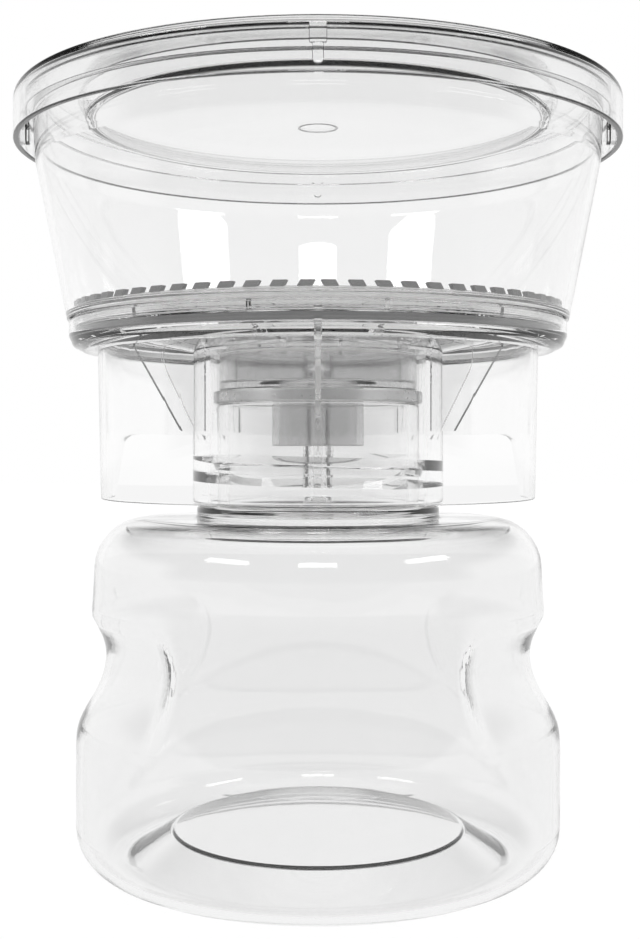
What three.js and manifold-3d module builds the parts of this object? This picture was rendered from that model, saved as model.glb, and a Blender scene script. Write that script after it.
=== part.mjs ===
// Vacuum filtration unit of clear plastic: a threaded receiver bottle, a filter base that screws onto
// its neck, a funnel seated on that base with a membrane held under it, and a lift-off lid.
// Millimetres, +Z up. The origin is the centre of the bottle's foot, on the surface it stands on.
import * as THREE from "three";
import { mergeVertices } from "three/addons/utils/BufferGeometryUtils.js";
import Module from "manifold-3d";

const wasm = await Module();
wasm.setup();

// ---- Driving dimensions ----

// Clearances
const seatGap = 0.3; // between a piece and what it rests on
const sideGap = 0.35; // between a tongue and its groove, and round a loose insert
const roundSteps = 48; // facets of every turned form
const smallSteps = 12; // facets of the port and its bores

// Receiver bottle
const bodyRadius = 52;
const bottleWall = 1.6;
const footFillet = 9;
const footWidth = 2.6; // flat ring that the bottle stands on
const pushUpRadius = 31.5;
const pushUpHeight = 6.4;
const waistBottom = 28; // the wall leans in from here
const waistTop = 56.5; // to here
const upperRadius = 48.5;
const shoulderHeight = 74;
const shoulderFillet = 10.5;
const shoulderDraft = 0.8; // how far the upper wall leans in below the shoulder
const beadRadius = 26.3;
const beadHeight = 2.7;
const neckRadius = 21.9;
const neckWall = 2.3;
const neckLength = 24.3; // shoulder to lip

// Finger grips pressed into both sides of the bottle
const gripHeight = 44; // centre line
const gripDepth = 4.3;
const gripAbove = 10; // reach above the centre line, with a crisp edge
const gripBelow = 15.5; // reach below it, fading out
const gripHalfAngle = 57; // degrees from the side to the grip's end
const gripEnd = 9; // length of the rounded end

// Neck gasket
const gasketThickness = 2.4;
const gasketOverlap = 0.8; // past the lip's bore and its outside

// Filter base: collar, well and drain
const collarWall = 3.6;
const collarClearance = 1.7; // round the plain neck, where the threads run
const collarDrop = 0.55; // collar's lower edge above the bottle's bead
const wellRadius = 21.5;
const baseWall = 1.5;
const drainRadius = 10;
const drainBelowLip = 8.8; // how far the drain tube hangs into the neck

// Filter base: plate, rim and skirt
const rimRadius = 53.5;
const rimRise = 8.2; // underside of the rim above the sealing land
const rimHeight = 6.2;
const rimFillet = 3;
const rimLip = 0.8; // thin outer lip of the groove
const grooveDepth = 3.7;
const grooveWidth = 2.1;
const landRise = 1.2; // membrane land above the rim
const landWidth = 2.8;
const plateDrop = 0.8; // conical floor's outer edge below the rim
const plateFall = 4.2; // fall of the conical floor from there to the well
const plateThickness = 1.6;
const skirtInset = 6.1; // skirt's face in from the rim
const skirtDraft = 0.6;
const skirtWall = 1.3;
const skirtAboveShoulder = 4.1;

// Rear arch in the skirt, which lets the vacuum hose out
const archInset = 1.1; // arch's lower corners in from the skirt's sides
const archLean = 1.6; // how far its sides lean in
const archHeight = 14.2;
const archCorner = 2.5;

// Gussets, membrane supports and the front lug
const gussetCount = 6;
const gussetThickness = 1;
const gussetInset = 4.8; // gusset's upper end in from the skirt
const gussetFoot = 15.3; // level lower edge above the collar's edge
const gussetFootReach = 5.2; // how far that edge reaches out from the collar
const supportCount = 12; // radial ribs under the membrane
const supportWidth = 0.9;
const supportRing = 33; // radius of the ring that joins the ribs
const lugWidth = 1.4;
const lugProud = 0.6;
const lugSetDown = 0.9; // lug's top below the rim's
const lugDrop = 1.1; // lug's foot below the rim

// Vacuum port
const portDrop = 16; // axis of the port below the sealing land
const portBore = 2.2;
const airBore = 1.3; // narrower passage over the land and down the air tube
const portWall = 1.1;
const ductWall = 2.2;
const portReach = 58;
const barbCount = 3;
const barbLength = 5.5;
const barbProud = 1.1;
const airRise = 4.3; // cross passage above the sealing land
const airTubeOffset = 14.5; // air tube from the axis
const fritLength = 6;
const fritDepth = 9; // frit's outer end from the port's mouth

// Seal ring, membrane and retaining ring
const sealHeight = 1.4;
const membraneThickness = 0.25;
const membraneInset = 0.3;
const ringThickness = 0.55;
const ringWidth = 4.9;
const toothCount = 66;
const toothLength = 2.7;
const toothHeight = 1.1;
const toothSlant = 0.7;
const toothDepth = 1.1;

// Funnel
const funnelWall = 1.5;
const funnelOverhang = 0.4; // funnel's foot past the rim
const funnelKneeRadius = 60.5; // where the taper ends
const funnelTaperHeight = 33.4;
const funnelTopRadius = 60.9;
const funnelHeight = 45.9; // foot to rim
const funnelFlangeWidth = 1.7;
const funnelFlangeHeight = 3.8;

// Lid
const lidClearance = 1.1; // between the funnel's flange and the lid's edge
const lidWall = 1.3;
const lidTop = 1.5; // thickness of the raised border
const lidSkirt = 10.3; // overall height of the lid's edge
const lidEdgeFillet = 2.1;
const recessRadius = 48.4;
const recessLean = 2.4; // how far the recess wall leans out
const recessDepth = 3.8;
const gateRadius = 4.3;
const gateDepth = 0.4;
const lidRibCount = 4;
const lidRibWidth = 3.1;
const lidRibTip = 2;
const lidRibProud = 0.8;
const lidRibShoulder = 3.6; // lower end of the rib's wide part, below the lid's top

// ---- Levels and radii that follow ----

const neckTop = shoulderHeight + neckLength;
const neckBore = neckRadius - neckWall;
const gasketBottom = neckTop + seatGap;
const landZ = gasketBottom + gasketThickness + seatGap; // sealing land over the gasket
const collarBore = neckRadius + collarClearance;
const collarRadius = collarBore + collarWall;
const collarBottom = shoulderHeight + beadHeight + collarDrop;
const skirtBottom = shoulderHeight + skirtAboveShoulder;
const rimBottom = landZ + rimRise;
const rimTop = rimBottom + rimHeight;
const grooveFloor = rimTop - grooveDepth;
const grooveOuter = rimRadius - rimLip;
const grooveInner = grooveOuter - grooveWidth;
const membraneLand = rimTop + landRise;
const landInner = grooveInner - landWidth;
const floorEdge = rimTop - plateDrop;
const floorCentre = floorEdge - plateFall;
const plateUnder = floorEdge - plateThickness;
const skirtRadius = rimRadius - skirtInset;
const skirtInner = skirtRadius - skirtWall;
const gussetRadius = skirtRadius - gussetInset;
const archHalfWidth = skirtRadius - archInset;
const portZ = landZ - portDrop;
const ductRadius = portBore + ductWall;
const ductCentre = collarRadius + portBore;
const airZ = landZ + airRise;

const sealBottom = grooveFloor + seatGap;
const tongueBottom = sealBottom + sealHeight + seatGap;
const tongueInner = grooveInner + sideGap;
const tongueOuter = grooveOuter - sideGap;
const funnelBottom = rimTop + seatGap;
const membraneBottom = membraneLand + seatGap;
const membraneRadius = grooveInner - membraneInset;
const ringBottom = membraneBottom + membraneThickness + seatGap;
const tongueTop = ringBottom - seatGap;
const ringTop = ringBottom + ringThickness;
const funnelTop = funnelBottom + funnelHeight;
const funnelFootRadius = rimRadius + funnelOverhang;
const kneeZ = funnelBottom + funnelTaperHeight;
const flangeRadius = funnelTopRadius + funnelFlangeWidth;
const lidRadius = flangeRadius + lidClearance + lidWall;
const lidUnder = funnelTop + seatGap;
const lidTopZ = lidUnder + lidTop;
const lidBottom = lidTopZ - lidSkirt;
const recessFloor = lidTopZ - recessDepth;

// ---- Materials ----

function clearPlastic(color, opacity) {
  return new THREE.MeshStandardMaterial({
    color,
    roughness: 0.06,
    metalness: 0,
    transparent: true,
    opacity,
  });
}

const bottlePlastic = clearPlastic(0xe4e6e6, 0.35);
const headPlastic = clearPlastic(0xeef0f0, 0.3);
const siliconeRubber = new THREE.MeshStandardMaterial({ color: 0xd9d9d6, roughness: 0.5, metalness: 0 });
const greyRubber = new THREE.MeshStandardMaterial({ color: 0x8b8d8e, roughness: 0.45, metalness: 0 });
const membraneWhite = new THREE.MeshStandardMaterial({ color: 0xf6f6f3, roughness: 0.9, metalness: 0 });

// ---- Geometry helpers ----

// A closed three.js geometry as a solid, with its faces turned outwards.
function toSolid(geometry) {
  const bare = geometry.index ? geometry.toNonIndexed() : geometry.clone();
  bare.deleteAttribute("normal");
  bare.deleteAttribute("uv");
  const merged = mergeVertices(bare, 1e-4);
  const corners = merged.index.array;
  const faces = [];
  for (let i = 0; i < corners.length; i += 3) {
    const [a, b, c] = [corners[i], corners[i + 1], corners[i + 2]];
    if (a !== b && b !== c && c !== a) faces.push(a, b, c);
  }
  const build = (triangles) =>
    new wasm.Manifold(
      new wasm.Mesh({
        numProp: 3,
        vertProperties: merged.attributes.position.array,
        triVerts: new Uint32Array(triangles),
      }),
    );
  const solid = build(faces);
  return solid.volume() > 0 ? solid : build(faces.toReversed());
}

function toGeometry(solid) {
  const mesh = solid.getMesh();
  const geometry = new THREE.BufferGeometry();
  geometry.setAttribute("position", new THREE.BufferAttribute(mesh.vertProperties, 3));
  geometry.setIndex(new THREE.BufferAttribute(mesh.triVerts, 1));
  return geometry;
}

const union = (solids) => solids.reduce((sum, solid) => sum.add(solid));
const radians = THREE.MathUtils.degToRad;

// Points of a circular arc in the (radius, height) plane, between two angles in degrees.
function arc(centreR, centreZ, radius, from, to, steps) {
  return Array.from({ length: steps + 1 }, (_, i) => {
    const angle = radians(from + ((to - from) * i) / steps);
    return [centreR + radius * Math.cos(angle), centreZ + radius * Math.sin(angle)];
  });
}

// A profile of [radius, height] points turned round +Z. It closes on itself unless it meets the axis.
function turnedGeometry(profile, steps = roundSteps) {
  const points = profile.map(([r, z]) => new THREE.Vector2(r, z));
  if (profile[0][0] > 0) points.push(points[0].clone());
  return new THREE.LatheGeometry(points, steps).rotateX(Math.PI / 2);
}

const turned = (profile, steps) => toSolid(turnedGeometry(profile, steps));

// A flat outline extruded by a depth, centred on its own plane.
function extruded(outline, depth) {
  const geometry = new THREE.ExtrudeGeometry(outline, { depth, bevelEnabled: false, curveSegments: 6 });
  return geometry.translate(0, 0, -depth / 2);
}

const polygon = (points) => new THREE.Shape(points.map(([x, y]) => new THREE.Vector2(x, y)));

// A fin standing in a plane through the axis: its outline is [radius, height] points.
function fin(outline, thickness, azimuth) {
  return toSolid(extruded(polygon(outline), thickness).rotateX(Math.PI / 2).rotateZ(radians(azimuth)));
}

// A round bar of a given radius between two points.
function bar(radius, from, to, steps = smallSteps) {
  const start = new THREE.Vector3(...from);
  const along = new THREE.Vector3(...to).sub(start);
  const geometry = new THREE.CylinderGeometry(radius, radius, along.length(), steps);
  geometry.translate(0, along.length() / 2, 0);
  const turn = new THREE.Quaternion().setFromUnitVectors(new THREE.Vector3(0, 1, 0), along.normalize());
  return toSolid(geometry.applyQuaternion(turn).translate(...start));
}

// ---- Receiver bottle ----

// The bottle's skin from the axis up to the neck, drawn in by a wall thickness.
function bottleSkin(inset) {
  const footRadius = bodyRadius - footFillet;
  const upperZ = shoulderHeight - shoulderFillet;
  const rows = 6; // the grips need rows to bend on
  const waist = Array.from({ length: rows + 1 }, (_, i) => [
    THREE.MathUtils.lerp(bodyRadius, upperRadius, i / rows) - inset,
    THREE.MathUtils.lerp(waistBottom, waistTop, i / rows),
  ]);
  return [
    [0, pushUpHeight + inset],
    [pushUpRadius, pushUpHeight + inset],
    [footRadius - footWidth, inset],
    ...arc(footRadius, footFillet, footFillet - inset, -90, 0, 4),
    ...waist,
    ...arc(
      upperRadius - shoulderDraft - shoulderFillet,
      upperZ,
      shoulderFillet - inset,
      0,
      90,
      5,
    ),
  ];
}

// How deep the grips press the wall in at an angle from the nearer side and a height.
function gripPress(angle, z) {
  const along = Math.max(0, Math.abs(angle) * bodyRadius - (radians(gripHalfAngle) * bodyRadius - gripEnd));
  const rise = (z - gripHeight) / (z > gripHeight ? gripAbove : gripBelow);
  const reach = (along / gripEnd) ** 2 + rise ** 2;
  const fade = 1 + Math.max(0, Math.min(1, -rise)); // crisp above, soft below
  return reach < 1 ? gripDepth * (1 - reach) ** fade : 0;
}

function pressGrips(geometry) {
  const position = geometry.attributes.position;
  for (let i = 0; i < position.count; i++) {
    const [x, y, z] = [position.getX(i), position.getY(i), position.getZ(i)];
    const radius = Math.hypot(x, y);
    if (radius > beadRadius) {
      const scale = 1 - gripPress(Math.atan2(y, Math.abs(x)), z) / radius;
      position.setXY(i, x * scale, y * scale);
    }
  }
  return geometry;
}

function receiverBottle() {
  const beadTop = shoulderHeight + beadHeight;
  const beadInside = beadRadius - bottleWall;
  const lipRound = 0.5;
  const neck = [
    [beadRadius, shoulderHeight],
    [beadRadius, beadTop - lipRound],
    [beadRadius - lipRound, beadTop],
    [neckRadius, beadTop],
    [neckRadius, neckTop - lipRound],
    [neckRadius - lipRound, neckTop],
    [neckBore, neckTop],
    [neckBore, beadTop],
    [beadInside, beadTop - bottleWall],
    [beadInside, shoulderHeight - bottleWall],
  ];
  const profile = [...bottleSkin(0), ...neck, ...bottleSkin(bottleWall).reverse()];
  return toSolid(pressGrips(turnedGeometry(profile)));
}

// ---- Neck gasket ----

function neckGasket() {
  const [inner, outer] = [neckBore - gasketOverlap, neckRadius + gasketOverlap];
  const top = gasketBottom + gasketThickness;
  return turned([
    [inner, gasketBottom],
    [outer, gasketBottom],
    [outer, top],
    [inner, top],
  ]);
}

// ---- Filter base ----

// Plate with its rim, well and drain tube: one wall of even thickness.
function basePlate() {
  const drainBore = drainRadius - baseWall;
  const drainBottom = neckTop - drainBelowLip;
  const wellBore = wellRadius - baseWall;
  return turned([
    [drainBore, drainBottom],
    [drainRadius, drainBottom],
    [drainRadius, landZ],
    [wellRadius, landZ],
    [wellRadius, floorCentre - plateThickness],
    [skirtInner, plateUnder],
    [skirtInner, rimBottom],
    ...arc(rimRadius - rimFillet, rimBottom + rimFillet, rimFillet, -90, 0, 4),
    [rimRadius, rimTop],
    [grooveOuter, rimTop],
    [grooveOuter, grooveFloor],
    [grooveInner, grooveFloor],
    [grooveInner, membraneLand],
    [landInner, membraneLand],
    [landInner, floorEdge],
    [wellBore, floorCentre],
    [wellBore, landZ + baseWall],
    [drainBore, landZ + baseWall],
  ]);
}

function collar() {
  return turned([
    [collarBore, collarBottom],
    [collarRadius, collarBottom],
    [collarRadius, floorCentre],
    [collarBore, floorCentre],
  ]);
}

function archCutter() {
  const top = skirtBottom + archHeight;
  const half = archHalfWidth - archLean;
  const below = skirtBottom - 1;
  const outline = new THREE.Shape();
  outline.moveTo(-archHalfWidth, below);
  outline.lineTo(archHalfWidth, below);
  outline.lineTo(half + archLean * (archCorner / archHeight), top - archCorner);
  outline.quadraticCurveTo(half, top, half - archCorner, top);
  outline.lineTo(archCorner - half, top);
  outline.quadraticCurveTo(-half, top, -half - archLean * (archCorner / archHeight), top - archCorner);
  const depth = 2 * skirtRadius;
  return toSolid(extruded(outline, depth).rotateX(Math.PI / 2).translate(0, depth / 2, 0));
}

function skirt() {
  const bottom = skirtRadius - skirtDraft;
  const ring = turned([
    [bottom - skirtWall, skirtBottom],
    [bottom, skirtBottom],
    [skirtRadius, rimBottom],
    [skirtRadius, plateUnder],
    [skirtInner, plateUnder],
    [skirtInner, rimBottom],
  ]);
  return ring.subtract(archCutter());
}

function gussets() {
  const inside = collarRadius - collarWall / 2;
  const foot = collarBottom + gussetFoot;
  const root = floorCentre - plateThickness / 2;
  return Array.from({ length: gussetCount }, (_, i) =>
    fin(
      [
        [inside, foot],
        [collarRadius + gussetFootReach, foot],
        [gussetRadius, rimBottom],
        [gussetRadius, plateUnder + plateThickness / 2],
        [inside, root],
      ],
      gussetThickness,
      30 + (360 * i) / gussetCount,
    ),
  );
}

// Ribs and a ring standing on the conical floor, level with the membrane land.
function membraneSupports() {
  const wellBore = wellRadius - baseWall;
  const floorAt = (radius) => floorCentre + (plateFall * (radius - wellBore)) / (landInner - wellBore);
  const sink = plateThickness / 2;
  const outer = landInner + landWidth / 2;
  const ribs = Array.from({ length: supportCount }, (_, i) => {
    const inner = i % 2 ? supportRing : wellBore + supportWidth;
    return fin(
      [
        [inner, floorAt(inner) - sink],
        [outer, floorAt(landInner) - sink],
        [outer, membraneLand],
        [inner, membraneLand],
      ],
      supportWidth,
      (360 * (i + 0.5)) / supportCount,
    );
  });
  const ring = turned([
    [supportRing, floorAt(supportRing) - sink],
    [supportRing + supportWidth, floorAt(supportRing) - sink],
    [supportRing + supportWidth, membraneLand],
    [supportRing, membraneLand],
  ]);
  return [...ribs, ring];
}

// A small lug down the front of the rim, from just below its top to just past its underside.
function frontLug() {
  const [inside, outside] = [rimRadius - rimLip / 2, rimRadius + lugProud];
  const [foot, top] = [rimBottom - lugDrop, rimTop - lugSetDown];
  return fin(
    [
      [rimRadius - rimFillet, foot],
      [outside - lugProud, foot],
      [outside, foot + lugProud],
      [outside, top - lugProud],
      [inside, top],
      [inside, rimBottom + rimFillet],
      [rimRadius - rimFillet, rimBottom + rimLip],
    ],
    lugWidth,
    270,
  );
}

// The barbed nipple, turned round its own axis and laid along +Y.
function portNipple() {
  const shaft = portBore + portWall;
  const start = portReach - barbCount * barbLength;
  const barbs = Array.from({ length: barbCount }, (_, i) => {
    const foot = start + i * barbLength;
    return [
      [shaft, foot],
      [shaft + barbProud, foot],
      [shaft, foot + barbLength - 0.6],
    ];
  });
  const profile = [[0, ductCentre], [shaft, ductCentre], ...barbs.flat(), [shaft, portReach], [0, portReach]];
  const geometry = turnedGeometry(profile, smallSteps);
  return toSolid(geometry.rotateX(-Math.PI / 2).translate(0, 0, portZ));
}

// Duct on the back of the collar: it carries the vacuum up past the neck, over the land and down
// an air tube into the bottle.
function portSolids() {
  const ductBottom = portZ - ductRadius;
  return [
    portNipple(),
    bar(ductRadius, [0, ductCentre, ductBottom], [0, ductCentre, floorCentre]),
    bar(airBore + portWall, [0, airTubeOffset, airZ], [0, ductCentre, airZ]),
    bar(airBore + portWall, [0, airTubeOffset, landZ], [0, airTubeOffset, airZ + airBore + portWall]),
  ];
}

function portBores() {
  return [
    bar(portBore, [0, ductCentre, portZ], [0, portReach + 1, portZ]),
    bar(portBore, [0, ductCentre, portZ - portBore], [0, ductCentre, airZ + airBore]),
    bar(airBore, [0, airTubeOffset, airZ], [0, ductCentre, airZ]),
    bar(airBore, [0, airTubeOffset, landZ - 1], [0, airTubeOffset, airZ]),
  ];
}

function filterBase() {
  const solid = union([
    basePlate(),
    collar(),
    skirt(),
    ...gussets(),
    ...membraneSupports(),
    frontLug(),
    ...portSolids(),
  ]);
  const neckSpace = bar(collarBore, [0, 0, collarBottom - 1], [0, 0, landZ], roundSteps);
  const drain = bar(drainRadius, [0, 0, neckTop - drainBelowLip], [0, 0, landZ], roundSteps);
  return solid.subtract(neckSpace.subtract(drain)).subtract(union(portBores()));
}

function portFrit() {
  const outerEnd = portReach - fritDepth;
  return bar(portBore - sideGap, [0, outerEnd - fritLength, portZ], [0, outerEnd, portZ]);
}

// ---- Seal ring, membrane and retaining ring ----

function funnelSeal() {
  return turned([
    [tongueInner, sealBottom],
    [tongueOuter, sealBottom],
    [tongueOuter, sealBottom + sealHeight],
    [tongueInner, sealBottom + sealHeight],
  ]);
}

function membrane() {
  return turned([
    [0, membraneBottom],
    [membraneRadius, membraneBottom],
    [membraneRadius, membraneBottom + membraneThickness],
    [0, membraneBottom + membraneThickness],
  ]);
}

// Inside of the funnel's wall at a height.
function funnelInside(z) {
  const share = Math.min(1, Math.max(0, (z - funnelBottom) / funnelTaperHeight));
  return THREE.MathUtils.lerp(funnelFootRadius, funnelKneeRadius, share) - funnelWall;
}

// Flat ring over the membrane's edge, with slanted teeth along its outer edge. The teeth lean
// towards the front on both halves.
function retainingRing() {
  const outer = funnelInside(ringBottom) - sideGap;
  const ring = turned([
    [outer - ringWidth, ringBottom],
    [outer, ringBottom],
    [outer, ringTop],
    [outer - ringWidth, ringTop],
  ]);
  const sink = ringThickness / 2;
  const flat = outer * Math.cos(Math.PI / roundSteps) - toothDepth; // stays inside the facets
  const teeth = [];
  for (let i = 0; i < toothCount / 2; i++) {
    for (const side of [-1, 1]) {
      const lean = -side * toothSlant;
      const outline = [
        [-toothLength / 2, -sink],
        [toothLength / 2, -sink],
        [toothLength / 2 + lean, toothHeight],
        [-toothLength / 2 + lean, toothHeight],
      ];
      const tooth = extruded(polygon(outline), toothDepth)
        .rotateX(Math.PI / 2)
        .translate(0, -flat - toothDepth / 2, ringTop)
        .rotateZ((side * 2 * Math.PI * (i + 0.5)) / toothCount);
      teeth.push(toSolid(tooth));
    }
  }
  return union([ring, ...teeth]);
}

// ---- Funnel ----

function funnel() {
  const flangeBottom = funnelTop - funnelFlangeHeight;
  const edge = 0.5;
  return turned([
    [tongueInner, tongueBottom],
    [tongueOuter, tongueBottom],
    [tongueOuter, funnelBottom],
    [funnelFootRadius, funnelBottom],
    [funnelKneeRadius, kneeZ],
    [funnelTopRadius, flangeBottom],
    [flangeRadius, flangeBottom],
    [flangeRadius, funnelTop - edge],
    [flangeRadius - edge, funnelTop],
    [funnelTopRadius - funnelWall, funnelTop],
    [funnelKneeRadius - funnelWall, kneeZ],
    [funnelInside(tongueTop), tongueTop],
    [tongueInner, tongueTop],
  ]);
}

// ---- Lid ----

// A rib inside the lid's skirt that centres it on the funnel: wide above, with a narrow nose below.
function lidRib(azimuth) {
  const top = lidUnder + lidTop / 2;
  const shoulderZ = lidUnder - lidRibShoulder;
  const outline = new THREE.Shape();
  outline.moveTo(-lidRibWidth / 2, top);
  outline.lineTo(-lidRibWidth / 2, shoulderZ);
  outline.lineTo(-lidRibTip / 2, shoulderZ);
  outline.lineTo(-lidRibTip / 2, lidBottom + lidRibTip);
  outline.quadraticCurveTo(0, lidBottom - lidRibTip / 2, lidRibTip / 2, lidBottom + lidRibTip);
  outline.lineTo(lidRibTip / 2, shoulderZ);
  outline.lineTo(lidRibWidth / 2, shoulderZ);
  outline.lineTo(lidRibWidth / 2, top);
  const depth = lidRibProud + lidWall / 2;
  const rib = extruded(outline, depth).rotateX(Math.PI / 2);
  const middle = lidRadius - lidWall - lidRibProud + depth / 2;
  return toSolid(rib.translate(0, middle, 0).rotateZ(radians(azimuth)));
}

function lid() {
  const inner = lidRadius - lidWall;
  const recessTop = recessRadius + recessLean;
  const thickness = lidTop;
  const body = turned([
    [0, recessFloor - gateDepth],
    [gateRadius - gateDepth, recessFloor - gateDepth],
    [gateRadius, recessFloor],
    [recessRadius, recessFloor],
    [recessTop, lidTopZ],
    ...arc(lidRadius - lidEdgeFillet, lidTopZ - lidEdgeFillet, lidEdgeFillet, 90, 0, 4),
    [lidRadius, lidBottom],
    [inner, lidBottom],
    [inner, lidUnder],
    [recessTop + thickness, lidUnder],
    [recessRadius + thickness, recessFloor - thickness],
    [0, recessFloor - thickness],
  ]);
  const ribs = Array.from({ length: lidRibCount }, (_, i) => lidRib((360 * i) / lidRibCount));
  return union([body, ...ribs]);
}

// ---- Assembly ----

const unit = new THREE.Group();

function place(name, solid, material) {
  const mesh = new THREE.Mesh(toGeometry(solid), material);
  mesh.name = name;
  unit.add(mesh);
}

place("receiver_bottle", receiverBottle(), bottlePlastic);
place("neck_gasket", neckGasket(), siliconeRubber);
place("filter_base", filterBase(), headPlastic);
place("port_frit", portFrit(), membraneWhite);
place("funnel_seal", funnelSeal(), greyRubber);
place("membrane", membrane(), membraneWhite);
place("retaining_ring", retainingRing(), headPlastic);
place("funnel", funnel(), headPlastic);
place("lid", lid(), headPlastic);

export default unit;
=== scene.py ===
import math

import bmesh
import bpy
from mathutils import Matrix, Vector


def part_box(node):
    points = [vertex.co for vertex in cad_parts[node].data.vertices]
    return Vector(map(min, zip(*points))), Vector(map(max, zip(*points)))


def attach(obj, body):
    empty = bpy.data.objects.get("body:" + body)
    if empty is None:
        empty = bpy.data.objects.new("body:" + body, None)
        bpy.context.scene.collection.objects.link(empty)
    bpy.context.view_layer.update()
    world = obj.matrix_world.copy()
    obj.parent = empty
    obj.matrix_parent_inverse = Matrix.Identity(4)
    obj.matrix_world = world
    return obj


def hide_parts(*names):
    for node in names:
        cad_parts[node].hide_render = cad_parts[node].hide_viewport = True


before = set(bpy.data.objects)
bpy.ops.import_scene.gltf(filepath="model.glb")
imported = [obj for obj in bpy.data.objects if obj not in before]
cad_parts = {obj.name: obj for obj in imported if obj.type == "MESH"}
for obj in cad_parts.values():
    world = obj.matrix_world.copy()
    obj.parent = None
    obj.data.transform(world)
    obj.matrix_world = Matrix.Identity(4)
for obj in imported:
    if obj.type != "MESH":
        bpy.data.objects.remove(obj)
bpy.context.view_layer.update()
mm = 0.001
print("frame loaded")


def boxOf(node):  # lowest and highest corner of a node, in millimetres
    low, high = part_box(node)
    return low / mm, high / mm


bottleHigh = boxOf("receiver_bottle")[1]
baseLow, baseHigh = boxOf("filter_base")
funnelLow, funnelHigh = boxOf("funnel")
lidLow, lidHigh = boxOf("lid")
gasketLow, gasketHigh = boxOf("neck_gasket")
sealLow, sealHigh = boxOf("funnel_seal")
ringLow, ringHigh = boxOf("retaining_ring")
membraneLow, membraneHigh = boxOf("membrane")
fritLow, fritHigh = boxOf("port_frit")

# camera

view = {
    "distance": 300,
    "height": 88.95,
    "lens": 52.72,
    "sensor": 36,
    "shiftX": 0.0021,
    "shiftY": -0.0229,
    "nearest": 0.01,  # metres
}

cameraData = bpy.data.cameras.new("camera")
cameraData.lens = view["lens"]
cameraData.sensor_width = view["sensor"]
cameraData.shift_x = view["shiftX"]
cameraData.shift_y = view["shiftY"]
cameraData.clip_start = view["nearest"]
camera = bpy.data.objects.new("camera", cameraData)
camera.location = (0, -view["distance"] * mm, view["height"] * mm)
camera.rotation_euler = (math.radians(90), 0, 0)
bpy.context.scene.collection.objects.link(camera)
bpy.context.scene.camera = camera
print("camera placed")

# nodes


class Wire:
    def __init__(self, graph, socket):
        self.graph = graph
        self.socket = socket

    def maths(self, operation, first, second):
        return self.graph.wire("ShaderNodeMath", {"operation": operation}, {0: first, 1: second})

    def __add__(self, other):
        return self.maths("ADD", self, other)

    def __radd__(self, other):
        return self.maths("ADD", other, self)

    def __sub__(self, other):
        return self.maths("SUBTRACT", self, other)

    def __rsub__(self, other):
        return self.maths("SUBTRACT", other, self)

    def __mul__(self, other):
        return self.maths("MULTIPLY", self, other)

    def __rmul__(self, other):
        return self.maths("MULTIPLY", other, self)

    def larger(self, other):
        return self.maths("MAXIMUM", self, other)

    def smaller(self, other):
        return self.maths("MINIMUM", self, other)


class Graph:
    def __init__(self, tree):
        self.tree = tree

    def node(self, kind, settings=None, values=None):
        made = self.tree.nodes.new(kind)
        for key, value in (settings or {}).items():
            if key == "stops":
                fillRamp(made.color_ramp, value)
            else:
                setattr(made, key, value)
        for key, value in (values or {}).items():
            if isinstance(value, Wire):
                self.tree.links.new(value.socket, made.inputs[key])
            else:
                made.inputs[key].default_value = value
        return made

    def wire(self, kind, settings=None, values=None, output=0):
        return Wire(self, self.node(kind, settings, values).outputs[output])

    def blend(self, share, first, second):
        return self.wire("ShaderNodeMix", {"data_type": "RGBA"}, {0: share, 6: first, 7: second}, 2)


def fillRamp(ramp, stops):
    while len(ramp.elements) < len(stops):
        ramp.elements.new(1)
    for element, (place, shade) in zip(ramp.elements, stops):
        element.position = place
        element.color = (shade, shade, shade, 1)


def grey(level, warmth=0.0):
    return (level * (1 + warmth), level, level * (1 - warmth), 1)


def newFinish(name):
    finish = bpy.data.materials.new(name)
    finish.use_nodes = True
    finish.node_tree.nodes.clear()
    graph = Graph(finish.node_tree)
    place = graph.wire("ShaderNodeTexCoord", output="Object")
    return finish, graph, place


def endFinish(graph, shader):
    graph.node("ShaderNodeOutputMaterial", {}, {"Surface": shader})


# clear plastic: glass-like, with a faint flow of the moulding in its surface


def clearPlastic(name, tint, index, rippleSize, rippleDepth, haze):
    finish, graph, place = newFinish(name)
    flow = graph.wire("ShaderNodeTexNoise", {}, {"Vector": place, "Scale": rippleSize, "Detail": 1.5})
    scuff = graph.wire("ShaderNodeTexNoise", {}, {"Vector": place, "Scale": 900, "Detail": 3})
    rough = haze * (0.6 + 0.8 * scuff)
    bump = graph.wire(
        "ShaderNodeBump", {}, {"Strength": 1.0, "Distance": rippleDepth * mm, "Height": flow}
    )
    plastic = graph.wire(
        "ShaderNodeBsdfPrincipled",
        {},
        {
            "Base Color": graph.blend(flow, grey(tint - 0.01), grey(tint + 0.01)),
            "Roughness": rough,
            "IOR": index,
            "Transmission Weight": 1.0,
            "Normal": bump,
        },
    )
    shade = graph.wire("ShaderNodeBsdfTransparent", {}, {"Color": grey(0.5 + tint / 2)})
    shadow = graph.wire("ShaderNodeLightPath", output="Is Shadow Ray")
    gathered = graph.wire("ShaderNodeLightPath", output="Diffuse Depth").smaller(1.0)
    plain = shadow.larger(gathered)  # shadows and light on dull surfaces pass straight through
    endFinish(graph, graph.wire("ShaderNodeMixShader", {}, {0: plain, 1: plastic, 2: shade}))
    return finish


# opaque finish: a colour that wanders a little, and a fine grain


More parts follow.
